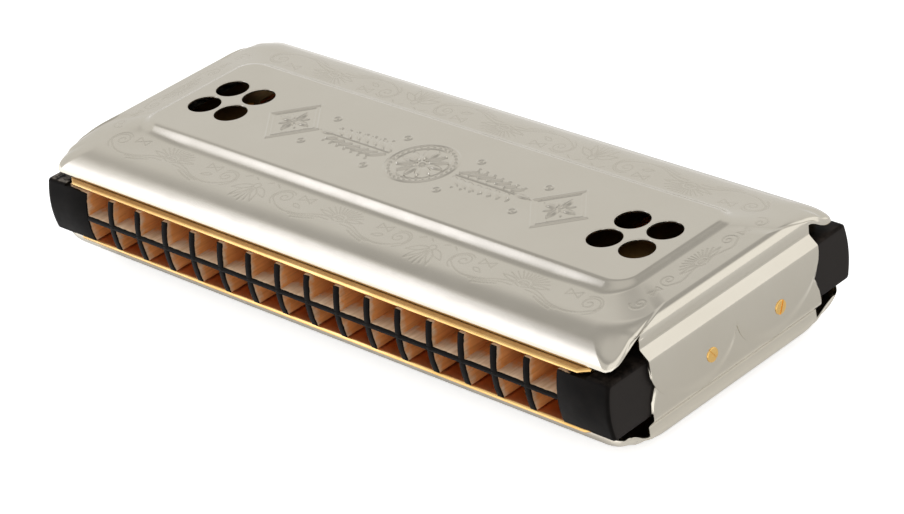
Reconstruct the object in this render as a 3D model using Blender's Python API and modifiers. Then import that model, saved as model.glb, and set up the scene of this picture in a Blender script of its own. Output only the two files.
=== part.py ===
"""Double-sided tremolo harmonica, modelled at real size in metres.

X runs along the row of mouth holes, -Y is the front mouth side and +Z is up.
The model is laid out about the harmonica's centre, and an empty at half its height
lifts it, so that the bottom cover's panel rests on z = 0.
The rear side is the front side turned half a turn about Z.
"""

import math

import bmesh
import bpy
from mathutils import Matrix, Vector

# Clearances
SEAT_GAP = 0.00025          # between a piece and what it rests on
SLOT_CLEARANCE = 0.0003     # between a reed blade and the sides and end of its slot
HOLE_CLEARANCE = 0.00025    # radial, round a screw or nail shank

# Mouth holes and comb
HOLE_COLUMNS = 16
DIVIDER_WIDTH = 0.0014
MIDDLE_WALL = 0.0011
COMB_LENGTH = 0.1468
COMB_END_MARGIN = 0.0110    # from the row of mouth holes to the comb's end face
COMB_NOSE_DEPTH = 0.0329    # half depth at the middle of the rounded nose
COMB_EDGE_DEPTH = 0.0320    # half depth where the nose meets the reed plates
COMB_END_HEIGHT = 0.0056    # half height of the end blocks
COMB_SEAT_HEIGHT = 0.0052   # half height under the reed plates
COMB_EDGE_ROUND = 0.0004
CHAMBER_END = 0.0082        # half width of the solid rail between front and rear chambers
NOSE_STEPS = 4

# Reed plates
PLATE_END_MARGIN = 0.0054   # of comb left bare past each end of a reed plate
PLATE_OUTER_EDGE = 0.0318
PLATE_INNER_EDGE = 0.0010
PLATE_THICKNESS = 0.00095
PLATE_CORNER_X = 0.0019
PLATE_CORNER_Y = 0.0014

# Reeds
BLOW_RIVET_LINE = 0.0273    # distance of the rivets from the middle of the harmonica
DRAW_RIVET_LINE = 0.0095
LONGEST_REED = 0.0172
SHORTEST_REED = 0.0105
REED_THICKNESS = 0.00025
REED_WIDTH = 0.0020
REED_TIP_WIDTH = 0.0017
PAD_WIDTH = 0.0032
PAD_BACK = 0.0014
PAD_FRONT = 0.0011
PAD_NECK = 0.0007
SLOT_START = 0.0008         # distance of a slot's near end from its rivet
RIVET_RADIUS = 0.0008
RIVET_HEAD_HEIGHT = 0.00025
RIVET_SIDES = 8
BANK_STRIP_WIDTH = 0.0011

# Plate nails
NAIL_HEAD_RADIUS = 0.0010
NAIL_HEAD_HEIGHT = 0.0003
NAIL_SHANK_RADIUS = 0.00045
NAIL_LENGTH = 0.0036
NAIL_END_INSET = 0.0024     # from the plate's end
NAIL_END_LINE = 0.0180
NAIL_RAIL_LINE = 0.0045

# Covers
SHEET = 0.00035
LIP_HEIGHT = 0.0114         # outer face of the flat border above the middle
PANEL_HEIGHT = 0.01325      # outer face of the raised panel above the middle
PANEL_END_MARGIN = 0.0090   # from the start of an end roll to the panel
PANEL_DEPTH = 0.0279
PANEL_CORNER = 0.0034
PANEL_SLOPE = 0.0014
PANEL_EDGE_ROUND = 0.0003
LIP_END_MARGIN = 0.00235    # from the start of an end roll to the comb's end face
LIP_HALF_DEPTH = 0.0220
LIP_CORNER = 0.0066
SKIRT_HALF_DEPTH = 0.0305
SKIRT_CORNER = 0.0056
END_ROLL_RADIUS = 0.0022
END_HOLLOW = 0.0005         # how far the end draws in below its roll
END_HOLLOW_HEIGHT = 0.0080
END_BEND_HEIGHT = 0.0072
FLAP_START_HEIGHT = 0.0062
FLAP_HALF_WIDTH = 0.0229
FLAP_SHOULDER = 0.0045      # height where a flap's side edge starts to curve
FLAP_BOTTOM = 0.0060        # reach of a flap's lobes past the middle
LOBE_LOWEST = 0.0095        # distance of each lobe's lowest point from the centre line
OUTER_NOTCH_TOP = 0.0025    # the lobes of the top cover's flaps meet here
INNER_NOTCH_TOP = -0.0030   # and those of the bottom cover's flaps here
LOBE_COLUMNS = 8
ROLL_ROWS = 4
CORNER_STEPS = 3
PANEL_CORNER_STEPS = 3

# Sound holes
SOUND_HOLE_RADIUS = 0.00335
SOUND_HOLE_SPACING = 0.0076
SOUND_CLUSTER_INSET = 0.0095    # from the panel's end to the middle of a group
SOUND_HOLE_SIDES = 18

# Cover screws
SCREW_HEAD_RADIUS = 0.00140
SCREW_HEAD_HEIGHT = 0.0006
SCREW_SHANK_RADIUS = 0.00075
SCREW_LENGTH = 0.0090
SCREW_NEAR_Y = -0.0071      # on the right end, seen from the front
SCREW_FAR_Y = 0.0116
SCREW_Z = -0.0009
SCREW_SLOT_WIDTH = 0.00035
SCREW_SLOT_DEPTH = 0.0003
TURNED_STEPS = 12

# Places that follow from the sizes above
PLATE_LOW = COMB_SEAT_HEIGHT + SEAT_GAP
PLATE_TOP = PLATE_LOW + PLATE_THICKNESS
SKIRT_BOTTOM = PLATE_TOP + SEAT_GAP
NOTCH_HEIGHT = LIP_HEIGHT - END_ROLL_RADIUS
COMB_END = COMB_LENGTH / 2
HOLE_PITCH = (COMB_LENGTH - 2 * COMB_END_MARGIN) / HOLE_COLUMNS
PLATE_LENGTH = COMB_LENGTH - 2 * PLATE_END_MARGIN
LIP_HALF_LENGTH = COMB_END - LIP_END_MARGIN
PANEL_LENGTH = 2 * (LIP_HALF_LENGTH - PANEL_END_MARGIN)
SOUND_CLUSTER_X = PANEL_LENGTH / 2 - SOUND_CLUSTER_INSET
INNER_FLAP_FACE = COMB_END + SEAT_GAP + SHEET
OUTER_FLAP_FACE = INNER_FLAP_FACE + SEAT_GAP + SHEET
SLOT_WIDTH = REED_WIDTH + 2 * SLOT_CLEARANCE
CHAMBER_WIDTH = HOLE_PITCH - DIVIDER_WIDTH

SIDES = {"front": Matrix.Identity(4), "rear": Matrix.Rotation(math.pi, 4, "Z")}
LAYERS = {"top": 1, "bottom": -1}
FLAPS = {"top": (OUTER_FLAP_FACE, OUTER_NOTCH_TOP), "bottom": (INNER_FLAP_FACE, INNER_NOTCH_TOP)}


def clear_scene():
    """Remove whatever the file opened with."""
    for obj in list(bpy.data.objects):
        bpy.data.objects.remove(obj, do_unlink=True)


def new_collection(name):
    """A collection linked to the scene."""
    collection = bpy.data.collections.new(name)
    bpy.context.scene.collection.children.link(collection)
    return collection


def make_material(name, colour, roughness, metallic):
    """A Principled material of one finish."""
    material = bpy.data.materials.new(name)
    material.use_nodes = True
    shader = material.node_tree.nodes["Principled BSDF"]
    shader.inputs["Base Color"].default_value = (*colour, 1.0)
    shader.inputs["Roughness"].default_value = roughness
    shader.inputs["Metallic"].default_value = metallic
    material.diffuse_color = (*colour, 1.0)
    return material


def column_x(column):
    """Centre of a mouth hole column, counted from 1 at the left."""
    return (column - (HOLE_COLUMNS + 1) / 2) * HOLE_PITCH


def reed_length(column):
    """Reeds shorten evenly from the low notes to the high ones."""
    share = (column - 1) / (HOLE_COLUMNS - 1)
    return LONGEST_REED + (SHORTEST_REED - LONGEST_REED) * share


def blow_columns():
    """Odd columns sound on the blow."""
    return range(1, HOLE_COLUMNS + 1, 2)


def draw_columns():
    """Even columns sound on the draw."""
    return range(2, HOLE_COLUMNS + 1, 2)


class Workshop:
    """Holds the collections, the centre empty and the materials."""

    def __init__(self):
        self.parts = new_collection("tremolo_harmonica")
        self.cutters = new_collection("cutters")
        self.centre = bpy.data.objects.new("harmonica_centre", None)
        self.centre.location = (0, 0, PANEL_HEIGHT)
        self.centre.empty_display_size = 0.01
        self.parts.objects.link(self.centre)

    def finish_part(self, obj, material):
        """Put a finished object among the parts, carried by the centre empty."""
        obj.data.materials.clear()
        obj.data.materials.append(material)
        self.parts.objects.link(obj)
        obj.parent = self.centre
        return obj

    def finish_cutter(self, obj):
        """Put a cutter out of sight."""
        self.cutters.objects.link(obj)
        obj.parent = self.centre
        obj.hide_render = True
        obj.display_type = "WIRE"
        return obj


def boolean(target, other, operation, name):
    """Cut from, or join to, the target with the exact solver."""
    modifier = target.modifiers.new(name, "BOOLEAN")
    modifier.operation = operation
    modifier.solver = "EXACT"
    modifier.object = other
    return modifier


def mesh_from(bm, name):
    """Turn a bmesh into a new object that is not linked yet."""
    mesh = bpy.data.meshes.new(name)
    bm.to_mesh(mesh)
    bm.free()
    return bpy.data.objects.new(name, mesh)


def add_box(bm, low, high):
    """Add a box between two corners."""
    low, high = Vector(low), Vector(high)
    size = high - low
    place = Matrix.Translation((low + high) / 2) @ Matrix.Diagonal((*size, 1))
    bmesh.ops.create_cube(bm, size=1, matrix=place)


def add_cylinder(bm, radius, depth, matrix, sides):
    """Add a closed cylinder along the matrix's Z axis."""
    bmesh.ops.create_cone(bm, cap_ends=True, segments=sides, radius1=radius, radius2=radius,
                          depth=depth, matrix=matrix)


def extruded_outline(name, points, thickness):
    """A closed flat outline in XY, thickened evenly about z = 0."""
    curve = bpy.data.curves.new(name, "CURVE")
    curve.dimensions = "2D"
    curve.fill_mode = "BOTH"
    curve.extrude = thickness / 2
    spline = curve.splines.new("POLY")
    spline.points.add(len(points) - 1)
    for point, (x, y) in zip(spline.points, points):
        point.co = (x, y, 0, 1)
    spline.use_cyclic_u = True
    drawn = bpy.data.objects.new(name, curve)
    bpy.context.scene.collection.objects.link(drawn)
    bpy.context.view_layer.update()
    evaluated = drawn.evaluated_get(bpy.context.evaluated_depsgraph_get())
    mesh = bpy.data.meshes.new_from_object(evaluated)
    bpy.data.objects.remove(drawn, do_unlink=True)
    bpy.data.curves.remove(curve)
    bm = bmesh.new()
    bm.from_mesh(mesh)
    bpy.data.meshes.remove(mesh)
    bmesh.ops.remove_doubles(bm, verts=bm.verts, dist=1e-6)
    bmesh.ops.recalc_face_normals(bm, faces=bm.faces)
    return bm


def turned(name, profile):
    """A round piece about Z from a profile that runs down its outer side."""
    bm = bmesh.new()
    verts = [bm.verts.new((radius, 0, height)) for radius, height in profile]
    for first, second in zip(verts, verts[1:]):
        bm.edges.new((first, second))
    obj = mesh_from(bm, name)
    screw = obj.modifiers.new("turn", "SCREW")
    screw.steps = TURNED_STEPS
    screw.render_steps = TURNED_STEPS
    screw.use_merge_vertices = True
    screw.merge_threshold = 0.000001
    return obj


def nose_outline():
    """Section of the comb in Y and Z, with a shallow round nose at the front and rear."""
    sagitta = COMB_NOSE_DEPTH - COMB_EDGE_DEPTH
    radius = (COMB_END_HEIGHT ** 2 + sagitta ** 2) / (2 * sagitta)
    spread = math.asin(COMB_END_HEIGHT / radius)
    points = []
    for side in (-1, 1):
        for step in range(NOSE_STEPS + 1):
            angle = side * spread * (2 * step / NOSE_STEPS - 1)
            y = side * (COMB_NOSE_DEPTH - radius + radius * math.cos(angle))
            points.append((y, radius * math.sin(angle)))
    return points


def screw_places():
    """Each cover screw's name, end (+1 right, -1 left) and position across the end."""
    return [("cover_screw_right_front", 1, SCREW_NEAR_Y),
            ("cover_screw_right_rear", 1, SCREW_FAR_Y),
            ("cover_screw_left_rear", -1, -SCREW_NEAR_Y),
            ("cover_screw_left_front", -1, -SCREW_FAR_Y)]


def nail_places():
    """Each plate nail's place on the front plate, seen from above."""
    end = PLATE_LENGTH / 2 - NAIL_END_INSET
    return {"left": (-end, -NAIL_END_LINE), "right": (end, -NAIL_END_LINE),
            "middle": (0.0, -NAIL_RAIL_LINE)}


def screw_hole_cutter(shop, name):
    """Clearance holes for the four cover screws."""
    bm = bmesh.new()
    for _, end, y in screw_places():
        place = (Matrix.Translation((end * (OUTER_FLAP_FACE - SCREW_LENGTH / 2), y, SCREW_Z))
                 @ Matrix.Rotation(math.pi / 2, 4, "Y"))
        add_cylinder(bm, SCREW_SHANK_RADIUS + HOLE_CLEARANCE, SCREW_LENGTH + 2 * SEAT_GAP,
                     place, RIVET_SIDES)
    return shop.finish_cutter(mesh_from(bm, name))


def nail_hole_cutter(shop, name):
    """Clearance holes for the plate nails, through plates and comb."""
    bm = bmesh.new()
    for turn in SIDES.values():
        for layer in LAYERS.values():
            for x, y in nail_places().values():
                centre = turn @ Vector((x, y, 0))
                centre.z = layer * (PLATE_TOP + SEAT_GAP - NAIL_LENGTH / 2)
                add_cylinder(bm, NAIL_SHANK_RADIUS + HOLE_CLEARANCE, NAIL_LENGTH + 2 * SEAT_GAP,
                             Matrix.Translation(centre), RIVET_SIDES)
    return shop.finish_cutter(mesh_from(bm, name))


def make_comb(shop, material, nail_holes, screw_holes):
    """Wooden body with two rows of chambers at the front and two at the rear."""
    bm = extruded_outline("comb_blank", nose_outline(), COMB_LENGTH)
    along_x = Matrix(((0, 0, 1, 0), (1, 0, 0, 0), (0, 1, 0, 0), (0, 0, 0, 1)))
    bmesh.ops.transform(bm, matrix=along_x, verts=bm.verts)
    comb = shop.finish_part(mesh_from(bm, "comb"), material)
    bevel = comb.modifiers.new("worn_edges", "BEVEL")
    bevel.width = COMB_EDGE_ROUND
    bevel.segments = 1
    bevel.limit_method = "ANGLE"
    bevel.angle_limit = math.radians(40)

    seats = bmesh.new()
    seat_x = PLATE_LENGTH / 2 + SEAT_GAP
    reach = COMB_NOSE_DEPTH + DIVIDER_WIDTH
    over = COMB_END_HEIGHT + DIVIDER_WIDTH
    for layer in LAYERS.values():
        low, high = sorted((layer * COMB_SEAT_HEIGHT, layer * over))
        add_box(seats, (-seat_x, -reach, low), (seat_x, reach, high))
    boolean(comb, shop.finish_cutter(mesh_from(seats, "plate_seats")), "DIFFERENCE", "seats")

    chambers = bmesh.new()
    for column in range(1, HOLE_COLUMNS + 1):
        for side in (-1, 1):
            for layer in LAYERS.values():
                x = column_x(column)
                y_low, y_high = sorted((side * CHAMBER_END, side * reach))
                z_low, z_high = sorted((layer * MIDDLE_WALL / 2, layer * over))
                add_box(chambers, (x - CHAMBER_WIDTH / 2, y_low, z_low),
                        (x + CHAMBER_WIDTH / 2, y_high, z_high))
    boolean(comb, shop.finish_cutter(mesh_from(chambers, "chambers")), "DIFFERENCE", "chambers")
    boolean(comb, nail_holes, "DIFFERENCE", "nail_holes")
    boolean(comb, screw_holes, "DIFFERENCE", "screw_holes")
    return comb


def make_plate(shop, material, side, layer, nail_holes):
    """Brass reed plate with a slot and a rivet for each reed."""
    half = PLATE_LENGTH / 2
    outline = [(-half, -PLATE_INNER_EDGE), (-half, -PLATE_OUTER_EDGE + PLATE_CORNER_Y),
               (-half + PLATE_CORNER_X, -PLATE_OUTER_EDGE),
               (half - PLATE_CORNER_X, -PLATE_OUTER_EDGE),
               (half, -PLATE_OUTER_EDGE + PLATE_CORNER_Y), (half, -PLATE_INNER_EDGE)]
    name = f"{side}_{layer}_reed_plate"
    bm = extruded_outline(name, outline, PLATE_THICKNESS)
    sign = LAYERS[layer]
    middle = sign * (PLATE_LOW + PLATE_THICKNESS / 2)
    turn = SIDES[side]
    place = turn @ Matrix.Translation((0, 0, middle))
    plate = mesh_from(bm, name)
    plate.matrix_local = place
    shop.finish_part(plate, material)

    slots = bmesh.new()
    rivets = bmesh.new()
    through = PLATE_THICKNESS
    for column in range(1, HOLE_COLUMNS + 1):
        x = column_x(column)
        blow = column in blow_columns()
        start, way = (-BLOW_RIVET_LINE, 1) if blow else (-DRAW_RIVET_LINE, -1)
        ends = sorted((start + way * SLOT_START,
                       start + way * (reed_length(column) + SLOT_CLEARANCE)))
        add_box(slots, (x - SLOT_WIDTH / 2, ends[0], -through), (x + SLOT_WIDTH / 2, ends[1], through))
        outward = sign if blow else -sign
        head = outward * (PLATE_THICKNESS / 2 + RIVET_HEAD_HEIGHT / 2 - PLATE_THICKNESS / 8)
        add_cylinder(rivets, RIVET_RADIUS, RIVET_HEAD_HEIGHT + PLATE_THICKNESS / 4,
                     Matrix.Translation((x, start, head)), RIVET_SIDES)
    for cutter_name, tool, operation in (("slots", slots, "DIFFERENCE"), ("rivets", rivets, "UNION")):
        cutter = mesh_from(tool, f"{name}_{cutter_name}")
        cutter.matrix_local = place
        boolean(plate, shop.finish_cutter(cutter), operation, cutter_name)
    boolean(plate, nail_holes, "DIFFERENCE", "nail_holes")
    return plate


def reed_half_outline(length):
    """One edge of a reed from its pad to its tip, as (distance along, half width)."""
    return [(-PAD_BACK, PAD_WIDTH / 2), (PAD_FRONT, PAD_WIDTH / 2),
            (PAD_FRONT + PAD_NECK, REED_WIDTH / 2), (length, REED_TIP_WIDTH / 2)]


def reed_mesh(shop, name, outline, rivet_places):
    """A reed or a bank of reeds above z = 0, with its rivet heads on top."""
    bm = extruded_outline(name, outline, REED_THICKNESS)
    bmesh.ops.translate(bm, verts=bm.verts, vec=(0, 0, SEAT_GAP + REED_THICKNESS / 2))
    reed = mesh_from(bm, name)
    heads = bmesh.new()
    for x in rivet_places:
        low = SEAT_GAP + REED_THICKNESS / 2
        high = SEAT_GAP + REED_THICKNESS + RIVET_HEAD_HEIGHT
        add_cylinder(heads, RIVET_RADIUS, high - low, Matrix.Translation((x, 0, (low + high) / 2)),
                     RIVET_SIDES)
    return reed, mesh_from(heads, f"{name}_heads")


def place_reed(shop, material, reed, heads, matrix):
    """Carry a reed on its plate, with its origin on its hinge line."""
    reed.matrix_local = matrix
    heads.matrix_local = matrix
    shop.finish_part(reed, material)
    boolean(reed, shop.finish_cutter(heads), "UNION", "rivet_heads")
    return reed


def make_blow_reed(shop, material, side, layer, column):
    """A blow reed lies in its chamber, on the plate's inner face."""
    name = f"{side}_{layer}_blow_reed_{column:02d}"
    edge = reed_half_outline(reed_length(column))
    outline = [(width, along) for along, width in edge]
    outline += [(-width, along) for along, width in reversed(edge)]
    reed, heads = reed_mesh(shop, name, outline, [0.0])
    facing = Matrix.Rotation(math.pi, 4, "Y") if layer == "top" else Matrix.Identity(4)
    place = Matrix.Translation((column_x(column), -BLOW_RIVET_LINE, LAYERS[layer] * PLATE_LOW))
    return place_reed(shop, material, reed, heads, SIDES[side] @ place @ facing)


def make_draw_reeds(shop, material, side, layer):
    """The draw reeds of a plate lie on its outer face, joined along their rivet line."""
    name = f"{side}_{layer}_draw_reeds"
    mirror = -1 if layer == "top" else 1
    teeth = sorted((mirror * column_x(column), reed_length(column)) for column in draw_columns())
    outline = [(teeth[0][0] - PAD_WIDTH / 2, -PAD_BACK)]
    for x, length in teeth:
        edge = reed_half_outline(length)
        strip = -PAD_BACK + BANK_STRIP_WIDTH
        side_up = [(x - width, along) for along, width in edge[1:]]
        side_down = [(x + width, along) for along, width in reversed(edge[1:])]
        if x != teeth[0][0]:
            outline.append((x - PAD_WIDTH / 2, strip))
        outline += side_up + side_down
        if x != teeth[-1][0]:
            outline.append((x + PAD_WIDTH / 2, strip))
    outline.append((teeth[-1][0] + PAD_WIDTH / 2, -PAD_BACK))
    reed, heads = reed_mesh(shop, name, outline, [x for x, _ in teeth])
    axis = "Z" if layer == "top" else "X"
    place = (Matrix.Translation((0, -DRAW_RIVET_LINE, LAYERS[layer] * PLATE_TOP))
             @ Matrix.Rotation(math.pi, 4, axis))
    return place_reed(shop, material, reed, heads, SIDES[side] @ place)


def make_nail(shop, material, side, layer, where):
    """A small brass nail that holds a reed plate on the comb."""
    name = f"{side}_{layer}_plate_nail_{where}"
    head_top = SEAT_GAP + NAIL_HEAD_HEIGHT
    tip = SEAT_GAP - NAIL_LENGTH
    profile = [(0, head_top), (NAIL_HEAD_RADIUS * 0.7, head_top), (NAIL_HEAD_RADIUS, SEAT_GAP * 1.3),
               (NAIL_HEAD_RADIUS, SEAT_GAP), (NAIL_SHANK_RADIUS, SEAT_GAP),
               (NAIL_SHANK_RADIUS, tip + 2 * NAIL_SHANK_RADIUS), (0, tip)]
    nail = turned(name, profile)
    nail.modifiers["turn"].steps = RIVET_SIDES
    nail.modifiers["turn"].render_steps = RIVET_SIDES
    x, y = nail_places()[where]
    facing = Matrix.Identity(4) if layer == "top" else Matrix.Rotation(math.pi, 4, "X")
    place = Matrix.Translation((x, y, LAYERS[layer] * PLATE_TOP))
    nail.matrix_local = SIDES[side] @ place @ facing
    return shop.finish_part(nail, material)


def make_screw(shop, material, name, end, y):
    """A round-head slotted screw through both flaps into the comb's end."""
    head = SCREW_HEAD_RADIUS
    top = SEAT_GAP + SCREW_HEAD_HEIGHT
    tip = SEAT_GAP - SCREW_LENGTH
    profile = [(0, top), (head * 0.45, top - SCREW_HEAD_HEIGHT * 0.08),
               (head * 0.80, top - SCREW_HEAD_HEIGHT * 0.35), (head, SEAT_GAP + SCREW_HEAD_HEIGHT * 0.25),
               (head, SEAT_GAP), (SCREW_SHANK_RADIUS, SEAT_GAP),
               (SCREW_SHANK_RADIUS, tip + 3 * SCREW_SHANK_RADIUS), (0, tip)]
    screw = turned(name, profile)
    face = Matrix.Rotation(end * math.pi / 2, 4, "Y")
    place = Matrix.Translation((end * OUTER_FLAP_FACE, y, SCREW_Z)) @ face
    screw.matrix_local = place
    shop.finish_part(screw, material)
    bm = bmesh.new()
    add_box(bm, (-SCREW_SLOT_WIDTH / 2, -2 * head, top - SCREW_SLOT_DEPTH),
            (SCREW_SLOT_WIDTH / 2, 2 * head, top + head))
    slot = mesh_from(bm, f"{name}_slot")
    slot.matrix_local = place
    boolean(screw, shop.finish_cutter(slot), "DIFFERENCE", "slot")
    return screw


def rounded_rectangle(half_x, half_y, corner, corner_steps, end_ys=(), reach=None):
    """A loop of (x, y, share, end, y_index) anticlockwise from the right end's front.

    share is 0 on the long sides, 1 on the ends and eases across each corner.
    end_ys are extra places along the ends, scaled so that reach is the end's straight half.
    """
    straight = half_y - corner
    scale = straight / reach if reach else 1.0
    loop = []
    for quarter in range(4):
        centre_x = (half_x - corner) * (1, 1, -1, -1)[quarter]
        centre_y = straight * (-1, 1, 1, -1)[quarter]
        for step in range(corner_steps + 1):
            angle = (quarter - 1 + step / corner_steps) * math.pi / 2
            share = abs(math.cos(angle)) ** 2
            share = share * share * (3 - 2 * share)
            loop.append((centre_x + corner * math.cos(angle), centre_y + corner * math.sin(angle),
                         share, 0, None))
        if quarter == 0:
            loop += [(half_x, y * scale, 1.0, 1, k) for k, y in enumerate(end_ys)]
        if quarter == 2:
            back = list(enumerate(end_ys))[::-1]
            loop += [(-half_x, y * scale, 1.0, -1, k) for k, y in back]
    return loop


def flap_stations():
    """Places across an end where the flap's outline is drawn."""
    quarter = [math.pi / 2 * step / (LOBE_COLUMNS / 2) for step in range(int(LOBE_COLUMNS / 2) + 1)]
    outer = [LOBE_LOWEST + (FLAP_HALF_WIDTH - LOBE_LOWEST) * math.cos(a) for a in quarter[:-1]]
    inner = [LOBE_LOWEST * math.sin(a) for a in quarter[::-1]]
    half = [-y for y in outer] + [-y for y in inner]
    return half + [-y for y in half[-2::-1]]


def flap_edge(y, notch_top):
    """Height of the flap's lower edge, as two lobes that meet in a notch."""
    across = abs(y)
    if across >= LOBE_LOWEST:
        share = min(1.0, (across - LOBE_LOWEST) / (FLAP_HALF_WIDTH - LOBE_LOWEST))
        return FLAP_SHOULDER - (FLAP_SHOULDER + FLAP_BOTTOM) * math.sqrt(1 - share * share)
    share = min(0.99, (LOBE_LOWEST - across) / LOBE_LOWEST)
    return notch_top - (notch_top + FLAP_BOTTOM) * math.sqrt(1 - share * share)


def end_rows(flap_face):
    """Section of an end below its roll: drawn in, bent out again, then down as the flap."""
    roll_x = LIP_HALF_LENGTH + END_ROLL_RADIUS
    hollow_x = roll_x - END_HOLLOW
    return [((roll_x + hollow_x) / 2, (NOTCH_HEIGHT + END_HOLLOW_HEIGHT) / 2),
            (hollow_x, END_HOLLOW_HEIGHT),
            (hollow_x + (flap_face - hollow_x) * 0.18, END_BEND_HEIGHT + 0.0003),
            (hollow_x + (flap_face - hollow_x) * 0.62, END_BEND_HEIGHT - 0.0002),
            (flap_face - (flap_face - hollow_x) * 0.10, FLAP_START_HEIGHT + 0.0004),
            (flap_face, FLAP_START_HEIGHT - 0.0003)]


def cover_surface(flap_face, notch_top):
    """The outer face of a cover, as an open surface above the middle."""
    bm = bmesh.new()
    ys = flap_stations()
    reach = SKIRT_HALF_DEPTH - SKIRT_CORNER

    panel = [(0, PANEL_HEIGHT), (PANEL_EDGE_ROUND, PANEL_HEIGHT - PANEL_EDGE_ROUND),
             (PANEL_SLOPE - PANEL_EDGE_ROUND, LIP_HEIGHT + PANEL_EDGE_ROUND), (PANEL_SLOPE, LIP_HEIGHT)]
    rings = []
    for out, height in panel:
        loop = rounded_rectangle(PANEL_LENGTH / 2 + out, PANEL_DEPTH / 2 + out, PANEL_CORNER + out,
                                 PANEL_CORNER_STEPS)
        rings.append([bm.verts.new((x, y, height)) for x, y, *_ in loop])
    bm.faces.new(rings[0])
    for upper, lower in zip(rings, rings[1:]):
        stitch(bm, upper, lower)
    base = rings[-1]

    rows = []
    for row in range(ROLL_ROWS + 1):
        angle = math.pi / 2 * row / ROLL_ROWS
        out, down = math.sin(angle), math.cos(angle)
        half_x = LIP_HALF_LENGTH + END_ROLL_RADIUS * out
        half_y = LIP_HALF_DEPTH + (SKIRT_HALF_DEPTH - LIP_HALF_DEPTH) * out
        corner = LIP_CORNER + (SKIRT_CORNER - LIP_CORNER) * out
        long_z = SKIRT_BOTTOM + (LIP_HEIGHT - SKIRT_BOTTOM) * down
        end_z = NOTCH_HEIGHT + END_ROLL_RADIUS * down
        loop = rounded_rectangle(half_x, half_y, corner, CORNER_STEPS, ys, reach)
        rows.append([bm.verts.new((x, y, long_z + (end_z - long_z) * share))
                     for x, y, share, *_ in loop])
    for upper, lower in zip(rows, rows[1:]):
        stitch(bm, upper, lower)

    flat = ring_edges(base) + ring_edges(rows[0])
    bmesh.ops.triangle_fill(bm, edges=flat, use_beauty=True, normal=(0, 0, 1))

    marks = [(end, index) for _, _, _, end, index in
             rounded_rectangle(1, SKIRT_HALF_DEPTH, SKIRT_CORNER, CORNER_STEPS, ys, reach)]
    for side in (1, -1):
        top = {index: vert for (end, index), vert in zip(marks, rows[-1]) if end == side}
        upper = [top[k] for k in range(len(ys))]
        section = end_rows(flap_face)
        for x, height in section:
            lower = [bm.verts.new((side * x, y, height)) for y in ys]
            stitch_open(bm, upper, lower)
            upper = lower
        lower = [bm.verts.new((side * flap_face, y, flap_edge(y, notch_top))) for y in ys]
        stitch_open(bm, upper, lower)
    bmesh.ops.recalc_face_normals(bm, faces=bm.faces)
    return bm


def ring_edges(verts):
    """The edges that join a closed loop of vertices."""
    return [first.link_edges[[edge.other_vert(first) for edge in first.link_edges].index(second)]
            for first, second in zip(verts, verts[1:] + verts[:1])]


def stitch(bm, upper, lower):
    """Join two closed loops of as many vertices with quads."""
    count = len(upper)
    for k in range(count):
        after = (k + 1) % count
        bm.faces.new((upper[k], lower[k], lower[after], upper[after]))


def stitch_open(bm, upper, lower):
    """Join two open rows of as many vertices with quads."""
    for k in range(len(upper) - 1):
        bm.faces.new((upper[k], lower[k], lower[k + 1], upper[k + 1]))


def make_cover(shop, material, layer, screw_holes):
    """Pressed sheet cover with a raised panel, sound holes and an end flap at each end."""
    bm = cover_surface(*FLAPS[layer])
    if max(vert.normal.z for vert in bm.verts) < 0.5:
        bmesh.ops.reverse_faces(bm, faces=bm.faces)
    name = f"{layer}_cover"
    cover = mesh_from(bm, name)
    turn = Matrix.Identity(4) if layer == "top" else Matrix.Rotation(math.pi, 4, "X")
    cover.matrix_local = turn
    shop.finish_part(cover, material)
    solid = cover.modifiers.new("sheet", "SOLIDIFY")
    solid.thickness = SHEET
    solid.offset = -1
    solid.use_even_offset = True

    holes = bmesh.new()
    for end in (-1, 1):
        for dx in (-1, 1):
            for dy in (-1, 1):
                place = Matrix.Translation((end * SOUND_CLUSTER_X + dx * SOUND_HOLE_SPACING / 2,
                                            dy * SOUND_HOLE_SPACING / 2, PANEL_HEIGHT))
                add_cylinder(holes, SOUND_HOLE_RADIUS, 8 * SHEET, place, SOUND_HOLE_SIDES)
    cutter = mesh_from(holes, f"{name}_sound_holes")
    cutter.matrix_local = turn
    boolean(cover, shop.finish_cutter(cutter), "DIFFERENCE", "sound_holes")
    boolean(cover, screw_holes, "DIFFERENCE", "screw_holes")
    return cover


def shade(objects):
    """Smooth shading with the sharp edges kept."""
    for obj in objects:
        obj.data.shade_smooth()
        obj.data.set_sharp_from_angle(angle=math.radians(35))


def build():
    """Make every piece of the harmonica."""
    clear_scene()
    shop = Workshop()
    lacquer = make_material("comb_lacquer", (0.013, 0.011, 0.010), 0.35, 0.0)
    brass = make_material("plate_brass", (0.80, 0.56, 0.22), 0.28, 1.0)
    reed_brass = make_material("reed_brass", (0.72, 0.46, 0.18), 0.32, 1.0)
    nickel = make_material("cover_nickel", (0.62, 0.59, 0.54), 0.22, 1.0)
    screw_brass = make_material("screw_brass", (0.85, 0.60, 0.20), 0.25, 1.0)

    nail_holes = nail_hole_cutter(shop, "nail_holes")
    screw_holes = screw_hole_cutter(shop, "screw_holes")
    made = [make_comb(shop, lacquer, nail_holes, screw_holes)]
    for side in SIDES:
        for layer in LAYERS:
            made.append(make_plate(shop, brass, side, layer, nail_holes))
            made.append(make_draw_reeds(shop, reed_brass, side, layer))
            for column in blow_columns():
                made.append(make_blow_reed(shop, reed_brass, side, layer, column))
            for where in nail_places():
                made.append(make_nail(shop, screw_brass, side, layer, where))
    for layer in LAYERS:
        made.append(make_cover(shop, nickel, layer, screw_holes))
    for name, end, y in screw_places():
        made.append(make_screw(shop, screw_brass, name, end, y))
    shade(made)


build()
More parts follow.
